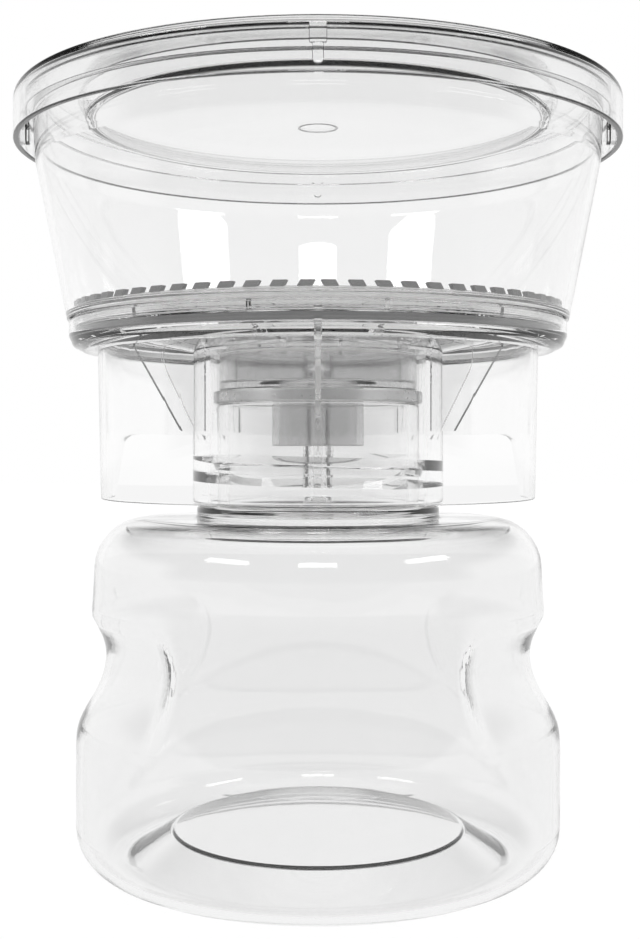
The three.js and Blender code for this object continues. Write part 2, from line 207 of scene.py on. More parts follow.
def plainFinish(name, level, warmth, wander, roughness, grainSize, grainDepth):
    finish, graph, place = newFinish(name)
    cloud = graph.wire("ShaderNodeTexNoise", {}, {"Vector": place, "Scale": 60, "Detail": 3})
    grain = graph.wire("ShaderNodeTexNoise", {}, {"Vector": place, "Scale": grainSize, "Detail": 4})
    bump = graph.wire(
        "ShaderNodeBump", {}, {"Strength": 0.8, "Distance": grainDepth * mm, "Height": grain}
    )
    colour = graph.blend(cloud, grey(level - wander, warmth), grey(level + wander, warmth))
    body = graph.wire(
        "ShaderNodeBsdfPrincipled",
        {},
        {"Base Color": colour, "Roughness": roughness + 0.12 * grain, "Normal": bump},
    )
    endFinish(graph, body)
    return finish


# membrane: thin white film that also lets light through


def filmFinish(name, level, grainSize, grainDepth, share):
    finish, graph, place = newFinish(name)
    cloud = graph.wire("ShaderNodeTexNoise", {}, {"Vector": place, "Scale": 90, "Detail": 3})
    pores = graph.wire("ShaderNodeTexNoise", {}, {"Vector": place, "Scale": grainSize, "Detail": 4})
    bump = graph.wire(
        "ShaderNodeBump", {}, {"Strength": 0.8, "Distance": grainDepth * mm, "Height": pores}
    )
    colour = graph.blend(cloud, grey(level - 0.015, 0.003), grey(level + 0.015, 0.003))
    film = graph.wire(
        "ShaderNodeBsdfPrincipled",
        {},
        {
            "Base Color": colour,
            "Roughness": 0.65 + 0.15 * pores,
            "Specular IOR Level": 0.0,
            "Normal": bump,
        },
    )
    through = graph.wire("ShaderNodeBsdfTranslucent", {}, {"Color": colour, "Normal": bump})
    endFinish(graph, graph.wire("ShaderNodeMixShader", {}, {0: share, 1: film, 2: through}))
    return finish


bottlePlastic = clearPlastic(
    "bottle_plastic", tint=0.963, index=1.5, rippleSize=55, rippleDepth=0.05, haze=0.02
)
basePlastic = clearPlastic(
    "base_plastic", tint=0.985, index=1.5, rippleSize=35, rippleDepth=0.01, haze=0.012
)
funnelPlastic = clearPlastic(
    "funnel_plastic", tint=0.968, index=1.5, rippleSize=30, rippleDepth=0.015, haze=0.012
)
lidPlastic = clearPlastic("lid_plastic", tint=0.97, index=1.5, rippleSize=30, rippleDepth=0.015, haze=0.012)
ringPlastic = clearPlastic(
    "ring_plastic", tint=0.985, index=1.5, rippleSize=40, rippleDepth=0.005, haze=0.012
)
toothInk = plainFinish(
    "ring_tooth_grey", level=0.14, warmth=0.0, wander=0.015, roughness=0.45, grainSize=1500, grainDepth=0.01
)
gasketSilicone = clearPlastic(
    "gasket_silicone", tint=0.9, index=1.41, rippleSize=60, rippleDepth=0.02, haze=0.3
)
# painted shade: a darker tint that stands in for the shade seen inside the well
wellShadeGrey = clearPlastic("well_shade_plastic", tint=0.74, index=1.5, rippleSize=45, rippleDepth=0.02, haze=0.1)
sealRubber = plainFinish(
    "seal_rubber", level=0.15, warmth=0.0, wander=0.02, roughness=0.5, grainSize=1400, grainDepth=0.02
)
membraneWhite = filmFinish("membrane_white", level=0.95, grainSize=2600, grainDepth=0.012, share=0.5)
porousWhite = plainFinish(
    "frit_porous", level=0.8, warmth=0.01, wander=0.04, roughness=0.8, grainSize=2200, grainDepth=0.12
)
print("finishes made")

# outlines and turned forms

aroundSteps = 192
degreesPerStep = 12  # on a round
shareOfEdge = 0.9  # that the rounds at its two ends may take
longestGuard = 0.12
guardShare = 0.05


def rounded(corners, closed=True):  # corners are (across, up, fillet) in millimetres
    count = len(corners)
    places = [Vector(corner[:2]) for corner in corners]
    turns, reaches = [], []
    for i, corner in enumerate(corners):
        before = places[i - 1] - places[i]
        after = places[(i + 1) % count] - places[i]
        plain = not closed and i in (0, count - 1)
        turns.append(0 if plain or corner[2] == 0 else math.pi - before.angle(after))
        reaches.append(corner[2] * math.tan(turns[i] / 2))
    points = []
    for i, here in enumerate(places):
        if turns[i] < 0.01:
            points.append(here)
            continue
        reach = reaches[i]
        for j in (i - 1, (i + 1) % count):  # rounds that meet on one edge share it
            room = shareOfEdge * (places[j] - here).length
            reach = min(reach, reaches[i] * room / (reaches[i] + reaches[j]))
        before = (places[i - 1] - here).normalized()
        after = (places[(i + 1) % count] - here).normalized()
        turn = turns[i]
        guard = min(longestGuard, guardShare * reach)  # a short flat beside the round, for true shading
        radius = reach / math.tan(turn / 2)
        centre = here + (before + after).normalized() * radius / math.cos(turn / 2)
        start = here + before * reach - centre
        stop = here + after * reach - centre
        steps = max(2, math.ceil(turn / math.radians(degreesPerStep)))
        points.append(centre + start + before * guard)
        for k in range(steps + 1):
            share = k / steps
            weight = math.sin((1 - share) * turn), math.sin(share * turn)
            points.append(centre + (start * weight[0] + stop * weight[1]) / math.sin(turn))
        points.append(centre + stop + after * guard)
    return points


def refined(points, longest, closed=True):  # splits long stretches of an outline
    finer = []
    pairs = list(zip(points, points[1:] + points[:1])) if closed else list(zip(points, points[1:]))
    for here, there in pairs:
        parts = max(1, math.ceil((there - here).length / longest))
        finer += [here.lerp(there, k / parts) for k in range(parts)]
    return finer if closed else finer + [points[-1]]


def turned(name, points, closed=True, steps=aroundSteps):
    vertices = []
    rows = []
    for point in points:
        if point.x < 1e-6:
            rows.append([len(vertices)])
            vertices.append((0, 0, point.y * mm))
            continue
        rows.append([len(vertices) + k for k in range(steps)])
        for k in range(steps):
            angle = 2 * math.pi * k / steps
            x, y = point.x * math.cos(angle), point.x * math.sin(angle)
            vertices.append((x * mm, y * mm, point.y * mm))
    faces = []
    nextRows = rows[1:] + (rows[:1] if closed else [])
    for row, nextRow in zip(rows, nextRows):
        for k in range(steps):
            corners = [row[k % len(row)], row[(k + 1) % len(row)]]
            corners += [nextRow[(k + 1) % len(nextRow)], nextRow[k % len(nextRow)]]
            face = list(dict.fromkeys(corners))
            if len(face) > 2:
                faces.append(face)
    return newObject(name, vertices, faces)


def newObject(name, vertices, faces):
    mesh = bpy.data.meshes.new(name)
    mesh.from_pydata(vertices, [], faces)
    shape = bmesh.new()
    shape.from_mesh(mesh)
    bmesh.ops.recalc_face_normals(shape, faces=shape.faces)
    shape.to_mesh(mesh)
    shape.free()
    made = bpy.data.objects.new(name, mesh)
    bpy.context.scene.collection.objects.link(made)
    return made


def slab(name, outline, thickness, toWorld):  # an outline in its own plane, given a thickness
    half = thickness / 2
    flat = [(x, y, s * half) for s in (-1, 1) for x, y in outline]
    count = len(outline)
    faces = [list(range(count))[::-1], list(range(count, 2 * count))]
    faces += [[k, (k + 1) % count, count + (k + 1) % count, count + k] for k in range(count)]
    return newObject(name, [toWorld @ Vector(p) * mm for p in flat], faces)


upright = Matrix(((1, 0, 0), (0, 0, -1), (0, 1, 0)))  # outline's x stays x, its y becomes height


def joined(target, others, operation="UNION"):
    for other in others:
        change = target.modifiers.new("join", "BOOLEAN")
        change.operation = operation
        change.solver = "MANIFOLD"
        change.object = other
    settle(target)
    for other in others:
        bpy.data.objects.remove(other)
    return target


def settle(target):  # turns what the modifiers make into a plain mesh
    graph = bpy.context.evaluated_depsgraph_get()
    mesh = bpy.data.meshes.new_from_object(target.evaluated_get(graph))
    mesh.name = target.name
    target.modifiers.clear()
    target.data = mesh


def softenEdges(target, width):
    change = target.modifiers.new("round", "BEVEL")
    change.width = width * mm
    change.segments = 3
    change.limit_method = "ANGLE"
    change.angle_limit = math.radians(40)
    settle(target)


def smooth(target, angle=28):
    mesh = target.data
    mesh.polygons.foreach_set("use_smooth", [True] * len(mesh.polygons))
    shape = bmesh.new()
    shape.from_mesh(mesh)
    for edge in shape.edges:
        edge.smooth = len(edge.link_faces) == 2 and edge.calc_face_angle(0) < math.radians(angle)
    shape.to_mesh(mesh)
    shape.free()


def dress(target, finish, body, slotName, *nodes):
    smooth(target)
    target.data.materials.clear()
    target.data.materials.append(finish)
    seat(target, body, slotName, *nodes)


def seat(target, body, slotName, *nodes):
    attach(target, body)
    if nodes:
        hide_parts(*nodes)


# copies round the axis, made with geometry nodes


def copyTree(name):
    tree = bpy.data.node_groups.new(name, "GeometryNodeTree")
    face = tree.interface
    face.new_socket("Geometry", in_out="INPUT", socket_type="NodeSocketGeometry")
    for label, kind in (("Count", "Int"), ("Start", "Float"), ("Step", "Float"), ("Finish", "Material")):
        face.new_socket(label, in_out="INPUT", socket_type="NodeSocket" + kind)
    face.new_socket("Geometry", in_out="OUTPUT", socket_type="NodeSocketGeometry")
    graph = Graph(tree)
    given = graph.node("NodeGroupInput").outputs
    points = graph.wire("GeometryNodePoints", {}, {"Count": Wire(graph, given["Count"])})
    index = graph.wire("GeometryNodeInputIndex")
    angle = Wire(graph, given["Start"]) + index * Wire(graph, given["Step"])
    turn = graph.wire("ShaderNodeCombineXYZ", {}, {"Z": angle})
    copies = graph.wire(
        "GeometryNodeInstanceOnPoints",
        {},
        {"Points": points, "Instance": Wire(graph, given["Geometry"]), "Rotation": turn},
    )
    real = graph.wire("GeometryNodeRealizeInstances", {}, {"Geometry": copies})
    done = graph.wire(
        "GeometryNodeSetMaterial", {}, {"Geometry": real, "Material": Wire(graph, given["Finish"])}
    )
    graph.node("NodeGroupOutput", {}, {"Geometry": done})
    return tree


roundCopies = copyTree("copies_round_the_axis")


def setInputs(change, tree, values):
    for item in tree.interface.items_tree:
        if item.in_out == "INPUT" and item.name in values:
            change[item.identifier] = values[item.name]


def copiesRound(target, count, startDegrees, stepDegrees, finish):
    change = target.modifiers.new("copies", "NODES")
    change.node_group = roundCopies
    start, step = math.radians(startDegrees), math.radians(stepDegrees)
    setInputs(change, roundCopies, {"Count": count, "Start": start, "Step": step, "Finish": finish})
    settle(target)
    return target


# a screw thread: a section swept up a helix and tapered at both ends, with geometry nodes


def threadTree(name):
    tree = bpy.data.node_groups.new(name, "GeometryNodeTree")
    face = tree.interface
    face.new_socket("Geometry", in_out="INPUT", socket_type="NodeSocketGeometry")
    for label in ("Radius", "Pitch", "Turns", "Foot", "Crest", "Height", "Taper"):
        face.new_socket(label, in_out="INPUT", socket_type="NodeSocketFloat")
    face.new_socket("Finish", in_out="INPUT", socket_type="NodeSocketMaterial")
    face.new_socket("Geometry", in_out="OUTPUT", socket_type="NodeSocketGeometry")
    graph = Graph(tree)
    outputs = graph.node("NodeGroupInput").outputs
    given = {name: Wire(graph, outputs[name]) for name in outputs.keys() if name}
    helix = graph.wire(
        "GeometryNodeCurveSpiral",
        {},
        {
            "Resolution": 128,
            "Rotations": given["Turns"],
            "Start Radius": given["Radius"],
            "End Radius": given["Radius"],
            "Height": given["Pitch"] * given["Turns"],
        },
    )
    level = graph.wire("GeometryNodeSetCurveNormal", {"mode": "Z_UP"}, {"Curve": helix})
    section = graph.wire(
        "GeometryNodeCurvePrimitiveQuadrilateral",
        {"mode": "TRAPEZOID"},
        {
            "Height": given["Height"],
            "Bottom Width": given["Foot"],
            "Top Width": given["Crest"],
            "Offset": 0.0,
        },
    )
    place = graph.wire("GeometryNodeSplineParameter", output="Factor")
    fromEnd = place.smaller(1 - place)
    size = (fromEnd * given["Taper"]).smaller(1.0).larger(0.05)
    swept = graph.wire(
        "GeometryNodeCurveToMesh",
        {},
        {"Curve": level, "Profile Curve": section, "Scale": size, "Fill Caps": True},
    )
    done = graph.wire("GeometryNodeSetMaterial", {}, {"Geometry": swept, "Material": given["Finish"]})
    graph.node("NodeGroupOutput", {}, {"Geometry": done})
    return tree


screwThread = threadTree("screw_thread")
threadTaper = 9.0  # full size is reached a ninth of the way from each end


def threadPiece(name, sizes, level, startDegrees, finish):
    piece = newObject(name, [], [])
    change = piece.modifiers.new("thread", "NODES")
    change.node_group = screwThread
    values = {key: sizes[key] * mm for key in ("Radius", "Pitch", "Foot", "Crest", "Height")}
    values.update({"Turns": sizes["Turns"], "Taper": threadTaper, "Finish": finish})
    setInputs(change, screwThread, values)
    settle(piece)
    spin = Matrix.Rotation(math.radians(startDegrees), 4, "Z")
    piece.data.transform(Matrix.Translation((0, 0, level * mm)) @ spin)
    shape = bmesh.new()
    shape.from_mesh(piece.data)
    bmesh.ops.remove_doubles(shape, verts=shape.verts, dist=1e-6)
    bmesh.ops.recalc_face_normals(shape, faces=shape.faces)
    shape.to_mesh(piece.data)
    shape.free()
    return piece


# receiver bottle

bottle = {
    "wall": 1.6,
    "footFillet": 9,
    "footWidth": 2.6,
    "pushUpRadius": 31.5,
    "pushUpHeight": 6.4,
    "pushUpFillet": 0.8,
    "pushUpThinning": 0.55,
    "heelFillet": 3.6,
    "waistBottom": 28,
    "waistTop": 56.5,
    "waistLean": 3.5,
    "waistFillet": 40,
    "shoulder": 24.3,  # below the lip
    "shoulderFillet": 10.5,
    "shoulderDraft": 0.8,
    "beadRadius": 26.3,
    "beadHeight": 2.7,
    "neckRadius": 21.9,
    "neckWall": 2.3,
    "gripHeight": 44,
    "gripDepth": 4.3,
    "gripAbove": 10,
    "gripBelow": 15.5,
    "gripHalfAngle": 57,
    "gripEnd": 9,
    "gripFade": 1.25,
    "threadLevel": 81.4,
    "threadStart": 195,
    "rowHeight": 1.5,
    "aroundSteps": 256,
}

neckThread = {"Radius": 21.95, "Pitch": 4, "Turns": 1.55, "Foot": 2.0, "Crest": 0.9, "Height": 1.7}


def bottleSkin(inset, radius, top):
    b = bottle
    foot = radius - b["footFillet"]
    upper = radius - b["waistLean"]
    pushUp = b["pushUpHeight"] + inset * b["pushUpThinning"]
    return [
        (0, pushUp, 0),
        (b["pushUpRadius"], pushUp, b["pushUpFillet"] + inset),
        (foot - b["footWidth"], inset, b["heelFillet"] - inset),
        (radius - inset, inset, b["footFillet"] - inset),
        (radius - inset, b["waistBottom"], b["waistFillet"]),
        (upper - inset, b["waistTop"], b["waistFillet"]),
        (upper - b["shoulderDraft"] - inset, top - inset, b["shoulderFillet"] - inset),
    ]


def gripPress(angle, height, radius):
    b = bottle
    start = math.radians(b["gripHalfAngle"]) * radius - b["gripEnd"]
    along = max(0, abs(angle) * radius - start)
    side = b["gripAbove"] if height > b["gripHeight"] else b["gripBelow"]
    rise = (height - b["gripHeight"]) / side
    reach = (along / b["gripEnd"]) ** 2 + rise**2
    fade = b["gripFade"] + max(0, min(2 - b["gripFade"], -rise))  # crisp above, soft below
    return b["gripDepth"] * (1 - reach) ** fade if reach < 1 else 0


def pressGrips(mesh, radius):
    for vertex in mesh.vertices:
        place = vertex.co / mm
        across = math.hypot(place.x, place.y)
        if across > bottle["beadRadius"]:
            press = gripPress(math.atan2(place.y, abs(place.x)), place.z, radius)
            vertex.co.x *= 1 - press / across
            vertex.co.y *= 1 - press / across


def makeBottle():
    b = bottle
    radius, lip = bottleHigh.x, bottleHigh.z
    shoulder = lip - b["shoulder"]
    beadTop = shoulder + b["beadHeight"]
    bore = b["neckRadius"] - b["neckWall"]
    beadInside = b["beadRadius"] - b["wall"]
    neck = [
        (b["beadRadius"], shoulder, 0.7),
        (b["beadRadius"], beadTop, 0.9),
        (b["neckRadius"], beadTop, 0.5),
        (b["neckRadius"], lip, 0.5),
        (bore, lip, 0.4),
        (bore, beadTop, 1.2),
        (beadInside, beadTop - b["wall"], 0.7),
        (beadInside, shoulder - b["wall"], 1.2),
    ]
    inside = bottleSkin(b["wall"], radius, shoulder)[::-1]
    outline = rounded(bottleSkin(0, radius, shoulder) + neck + inside, closed=False)
    outline = refined(outline, b["rowHeight"], closed=False)
    skin = turned("receiver_bottle_clear", outline, closed=False, steps=b["aroundSteps"])
    pressGrips(skin.data, radius)
    thread = threadPiece("neck_thread", neckThread, b["threadLevel"], b["threadStart"], bottlePlastic)
    joined(skin, [thread])
    dress(skin, bottlePlastic, "bottle", "bottle_plastic", "receiver_bottle")


makeBottle()
print("bottle made")

# gasket on the bottle's lip


gasket = {"bore": 18.8, "edge": 0.35}


def flatRing(inner, outer, low, high, edge):
    return rounded([(inner, low, edge), (outer, low, edge), (outer, high, edge), (inner, high, edge)])


def makeGasket():
    points = flatRing(gasket["bore"], gasketHigh.x, gasketLow.z, gasketHigh.z, gasket["edge"])
    dress(turned("neck_gasket_soft", points), gasketSilicone, "gasket", "silicone", "neck_gasket")


makeGasket()
print("gasket made")

# filter base

base = {
    "rimRadius": 53.5,
    "rimHeight": 6.2,
    "rimFillet": 3,
    "rimTuck": 0.9,
    "rimTuckRise": 1.0,
    "rimKneeRise": 3.0,
    "rimLip": 0.8,
    "grooveWidth": 2.1,
    "grooveDepth": 3.7,
    "landRise": 1.2,
    "landWidth": 2.8,
    "floorDrop": 0.8,  # cone's outer edge below the rim
    "floorFall": 4.2,
    "plate": 1.6,
    "wall": 1.5,
    "wellRadius": 21.5,
    "seatThickness": 1.5,
    "drainRadius": 10,
    "drainBelowLip": 8.8,
    "shadeInside": 0.3,  # how far the painted shade's denser grey reaches past the well's wall
    "shadeOutside": 0.1,
    "collarRadius": 27.2,
    "collarWall": 3.6,
    "skirtRadius": 47.4,
    "skirtDraft": 0.6,
    "skirtWall": 1.3,
    "skirtAboveShoulder": 4.1,
    "archHalfWidth": 46.3,
    "archLean": 1.6,
    "archHeight": 14.2,
    "archCorner": 2.5,
    "gussetCount": 6,
    "gussetThickness": 1.0,
    "gussetRadius": 42.6,
    "gussetFoot": 15.3,
    "gussetFootReach": 5.2,
    "supportCount": 6,  # of each length
    "supportWidth": 0.9,
    "supportRing": 33,
    "supportSink": 1,
    "lugWidth": 1.4,
    "lugProud": 0.6,
    "lugSetDown": 0.9,
    "lugDrop": 1.1,
    "portBore": 2.2,
    "airBore": 1.3,
    "portWall": 1.1,
    "ductWall": 2.2,
    "portBelowLand": 16,
    "airRise": 4.3,
    "airTubeOffset": 14.5,
    "barbCount": 3,
    "barbLength": 5.5,
    "barbProud": 1.1,
    "barbGap": 0.6,
    "threadLevel": 80.9,
    "threadStart": 15,
}

collarThread = {"Radius": 23.55, "Pitch": 4, "Turns": 1.6, "Foot": 2.0, "Crest": 0.9, "Height": 2.2}


def baseLevels():
    b = base
    land = gasketHigh.z + 0.3
    rimTop = baseHigh.z - b["landRise"]
    floorEdge = rimTop - b["floorDrop"]
    return {
        "land": land,
        "rimTop": rimTop,
        "rimBottom": rimTop - b["rimHeight"],
        "support": baseHigh.z,
        "floorEdge": floorEdge,
        "floorCentre": floorEdge - b["floorFall"],
        "plateUnder": floorEdge - b["plate"],
        "skirtBottom": bottleHigh.z - bottle["shoulder"] + b["skirtAboveShoulder"],
        "port": land - b["portBelowLand"],
        "air": land + b["airRise"],
        "drainBottom": bottleHigh.z - b["drainBelowLip"],
        "collarBottom": baseLow.z,
    }


def basePlate(z):
    b = base
    groove = b["rimRadius"] - b["rimLip"]
    inner = groove - b["grooveWidth"]
    skirtInner = b["skirtRadius"] - b["skirtWall"]
    landInner = inner - b["landWidth"]
    drainBore = b["drainRadius"] - b["wall"]
    wellBore = b["wellRadius"] - b["wall"]
    well = z["land"] + b["seatThickness"]
    return turned(
        "filter_base_clear",
        rounded(
            [
                (drainBore, z["drainBottom"], 0.3),
                (b["drainRadius"], z["drainBottom"], 0.3),
                (b["drainRadius"], z["land"], 0.4),
                (b["wellRadius"], z["land"], 0.3),
                (b["wellRadius"], z["floorCentre"] - b["plate"], 0.6),
                (skirtInner, z["plateUnder"], 0.5),
                (skirtInner, z["rimBottom"], 0),
                (b["rimRadius"] - b["rimFillet"], z["rimBottom"], 0.6),
                (b["rimRadius"] - b["rimTuck"], z["rimBottom"] + b["rimTuckRise"], 1.0),
                (b["rimRadius"], z["rimBottom"] + b["rimKneeRise"], 1.5),
                (b["rimRadius"], z["rimTop"], 0.3),
                (groove, z["rimTop"], 0.15),
                (groove, z["rimTop"] - b["grooveDepth"], 0.3),
                (inner, z["rimTop"] - b["grooveDepth"], 0.3),
                (inner, z["support"], 0.3),
                (landInner, z["support"], 0.3),
                (landInner, z["floorEdge"], 0.5),
                (wellBore, z["floorCentre"], 0.6),
                (wellBore, well, 0.5),
                (drainBore, well, 0.5),
            ]
        ),
    )


def baseCollar(z):
    b = base
    bore = b["collarRadius"] - b["collarWall"]
    return turned(
        "collar",
        rounded(
            [
                (bore, z["collarBottom"], 0.6),
                (b["collarRadius"], z["collarBottom"], 0.6),
                (b["collarRadius"], z["floorCentre"], 0),
                (bore, z["floorCentre"], 0),
            ]
        ),
    )


past = 1  # how far a cutter reaches past a face


def archOutline(z):  # narrower at the top, with its upper corners rounded
    b = base
    half = b["archHalfWidth"] - b["archLean"]
    top = z["skirtBottom"] + b["archHeight"]
    corners = [
        (-b["archHalfWidth"], z["skirtBottom"] - past, 0),
        (b["archHalfWidth"], z["skirtBottom"] - past, 0),
        (half, top, b["archCorner"]),
        (-half, top, b["archCorner"]),
    ]
    return rounded(corners)


def baseSkirt(z):
    b = base
    foot = b["skirtRadius"] - b["skirtDraft"]
    ring = turned(
        "skirt",
        rounded(
            [
                (foot - b["skirtWall"], z["skirtBottom"], 0.4),
                (foot, z["skirtBottom"], 0.4),
                (b["skirtRadius"], z["rimBottom"], 0),
                (b["skirtRadius"], z["plateUnder"], 0),
                (b["skirtRadius"] - b["skirtWall"], z["plateUnder"], 0),
                (b["skirtRadius"] - b["skirtWall"], z["rimBottom"], 0),
            ]
        ),
    )
    reach = 2 * b["skirtRadius"]
    cutter = slab("arch", archOutline(z), reach, upright)
    cutter.data.transform(Matrix.Translation((0, reach / 2 * mm, 0)))
    return joined(ring, [cutter], "DIFFERENCE")


def floorAt(z, radius):
    b = base
    inner = b["wellRadius"] - b["wall"]
    outer = b["rimRadius"] - b["rimLip"] - b["grooveWidth"] - b["landWidth"]
    return z["floorCentre"] + b["floorFall"] * (radius - inner) / (outer - inner)


def baseGussets(z):
    b = base
    inside = b["collarRadius"] - b["collarWall"] / 2
    foot = z["collarBottom"] + b["gussetFoot"]
    outline = [
        (inside, foot),
        (b["collarRadius"] + b["gussetFootReach"], foot),
        (b["gussetRadius"], z["rimBottom"]),
        (b["gussetRadius"], z["plateUnder"] + b["plate"] / 2),
        (inside, z["floorCentre"] - b["plate"] / 2),
    ]
    gusset = slab("gussets", outline, b["gussetThickness"], upright)
    step = 360 / b["gussetCount"]
    return copiesRound(gusset, b["gussetCount"], step / 2, step, basePlastic)


def baseSupports(z):
    b = base
    sink = b["plate"] / 2
    outer = b["rimRadius"] - b["rimLip"] - b["grooveWidth"] - b["landWidth"]
    wellBore = b["wellRadius"] - b["wall"]
    step = 360 / b["supportCount"]
    ribs = {
        "long_ribs": (wellBore + b["supportWidth"], step / 4),
        "short_ribs": (b["supportRing"], step * 3 / 4),
    }
    made = []
    for name, (inner, start) in ribs.items():
        outline = [
            (inner, floorAt(z, inner) - sink),
            (outer + b["supportSink"], floorAt(z, outer) - sink),
            (outer + b["supportSink"], z["support"]),
            (inner, z["support"]),
        ]
        rib = slab(name, outline, b["supportWidth"], upright)
        made.append(copiesRound(rib, b["supportCount"], start, step, basePlastic))
    ring, width = b["supportRing"], b["supportWidth"]
    low = floorAt(z, ring) - sink
    points = rounded(
        [
            (ring, low, 0),
            (ring + width, low, 0),
            (ring + width, z["support"], 0.2),
            (ring, z["support"], 0.2),
        ]
    )
    return made + [turned("support_ring", points)]


def frontLug(z):
    b = base
    inside, outside = b["rimRadius"] - b["rimLip"] / 2, b["rimRadius"] + b["lugProud"]
    under = b["rimRadius"] - b["rimFillet"]
    foot, top = z["rimBottom"] - b["lugDrop"], z["rimTop"] - b["lugSetDown"]
    corners = [
        (under, foot, 0),
        (outside - b["lugProud"], foot, 0.3),
        (outside, foot + b["lugProud"], 0.4),
        (outside, top - b["lugProud"], 0.4),
        (inside, top, 0),
        (inside, z["rimBottom"] + b["rimFillet"], 0),
        (under, z["rimBottom"] + b["rimLip"], 0),
    ]
    lug = slab("front_lug", rounded(corners), b["lugWidth"], upright)
    return copiesRound(lug, 1, -90, 0, basePlastic)


def rod(name, radius, start, end, steps=48):
    along = Vector(end) - Vector(start)
    points = [Vector((0, 0)), Vector((radius, 0)), Vector((radius, along.length)), Vector((0, along.length))]
    made = turned(name, points, closed=False, steps=steps)
    turn = Vector((0, 0, 1)).rotation_difference(along).to_matrix().to_4x4()
    made.data.transform(Matrix.Translation(Vector(start) * mm) @ turn)
    return made


backwards = Matrix.Rotation(math.radians(-90), 4, "X")  # turns a piece's height towards the back


def portNipple(z, centre):
    b = base
    shaft = b["portBore"] + b["portWall"]
    reach = baseHigh.y
    first = reach - b["barbCount"] * b["barbLength"]
    corners = [(0, centre, 0), (shaft, centre, 0)]
    for k in range(b["barbCount"]):
        foot = first + k * b["barbLength"]
        tip = foot + b["barbLength"] - b["barbGap"]
        corners += [(shaft, foot, 0.15), (shaft + b["barbProud"], foot, 0.25), (shaft, tip, 0.1)]
    corners += [(shaft, reach, 0.35), (0, reach, 0)]
    made = turned("port_nipple", rounded(corners, closed=False), closed=False, steps=64)
    made.data.transform(Matrix.Translation((0, 0, z["port"] * mm)) @ backwards)
    return made


def paintWellShade(mesh, z):  # painted shade: the well's wall takes a denser grey for the shade in the well under the membrane, and the drain tube takes the same grey
    b = base
    inner = b["wellRadius"] - b["wall"] - b["shadeInside"]
    outer = b["wellRadius"] + b["shadeOutside"]
    drainOuter = b["drainRadius"] + b["shadeOutside"]
    mesh.materials.append(wellShadeGrey)
    for face in mesh.polygons:
        across = math.hypot(face.center.x, face.center.y) / mm
        up = face.center.z / mm
        inWell = inner < across < outer and z["land"] < up < z["floorCentre"]
        inDrain = across < drainOuter and up < z["land"] + b["seatThickness"]
        if inWell or inDrain:
            face.material_index = 1


def makeBase():
    b = base
    z = baseLevels()
    duct = b["collarRadius"] + b["portBore"]
    ductRadius = b["portBore"] + b["ductWall"]
    air = b["airBore"] + b["portWall"]
    tube = b["airTubeOffset"]
    bore = b["collarRadius"] - b["collarWall"]
    solid = basePlate(z)
    parts = [baseCollar(z), baseSkirt(z), baseGussets(z), frontLug(z), portNipple(z, duct)]
    parts += baseSupports(z)
    parts += [
        rod("duct", ductRadius, (0, duct, z["port"] - ductRadius), (0, duct, z["floorCentre"])),
        rod("air_passage", air, (0, tube, z["air"]), (0, duct, z["air"])),
        rod("air_tube", air, (0, tube, z["land"]), (0, tube, z["air"] + air)),
    ]
    joined(solid, parts)
    neckSpace = rod("neck_space", bore, (0, 0, z["collarBottom"] - past), (0, 0, z["land"]), aroundSteps)
    drain = rod("drain", b["drainRadius"], (0, 0, z["drainBottom"]), (0, 0, z["land"]), aroundSteps)
    joined(neckSpace, [drain], "DIFFERENCE")
    ductFoot = z["port"] - b["portBore"]
    cuts = [
        neckSpace,
        rod("port_bore", b["portBore"], (0, duct, z["port"]), (0, baseHigh.y + past, z["port"])),
        rod("duct_bore", b["portBore"], (0, duct, ductFoot), (0, duct, z["air"] + b["airBore"])),
        rod("air_bore", b["airBore"], (0, tube, z["air"]), (0, duct, z["air"])),
        rod("tube_bore", b["airBore"], (0, tube, z["land"] - past), (0, tube, z["air"])),
    ]
    joined(solid, cuts, "DIFFERENCE")
    thread = threadPiece("collar_thread", collarThread, b["threadLevel"], b["threadStart"], basePlastic)
    joined(solid, [thread])
    dress(solid, basePlastic, "head", "base_plastic", "filter_base")
    paintWellShade(solid.data, z)


makeBase()
print("filter base made")

# frit in the port


def flatDisc(radius, low, high, edge):
    return rounded([(0, low, 0), (radius, low, edge), (radius, high, edge), (0, high, 0)], closed=False)


def makeFrit():
    points = flatDisc(fritHigh.x, 0, fritHigh.y - fritLow.y, 0.3)
    made = turned("port_frit_porous", points, closed=False, steps=48)
    middle = (fritLow.z + fritHigh.z) / 2
    made.data.transform(Matrix.Translation((0, fritLow.y * mm, middle * mm)) @ backwards)
    dress(made, porousWhite, "head", "porous_white", "port_frit")


# seal in the rim's groove, membrane and retaining ring


seal = {"bore": 50.95, "edge": 0.5}


def makeSeal():
    points = flatRing(seal["bore"], sealHigh.x, sealLow.z, sealHigh.z, seal["edge"])
    dress(turned("funnel_seal_soft", points), sealRubber, "head", "grey_rubber", "funnel_seal")


def makeMembrane():
    points = flatDisc(membraneHigh.x, membraneLow.z, membraneHigh.z, 0.08)
    made = turned("membrane_disc", refined(points, 3, closed=False), closed=False)
    dress(made, membraneWhite, "head", "membrane_white", "membrane")


teeth = {
    "count": 66,
    "length": 2.7,
    "height": 1.1,
    "slant": 0.7,
    "depth": 1.1,
    "sink": 0.1,
    "edge": 0.1,
    "ringWidth": 4.9,
    "ringThickness": 0.55,
    "ringEdge": 0.15,
}


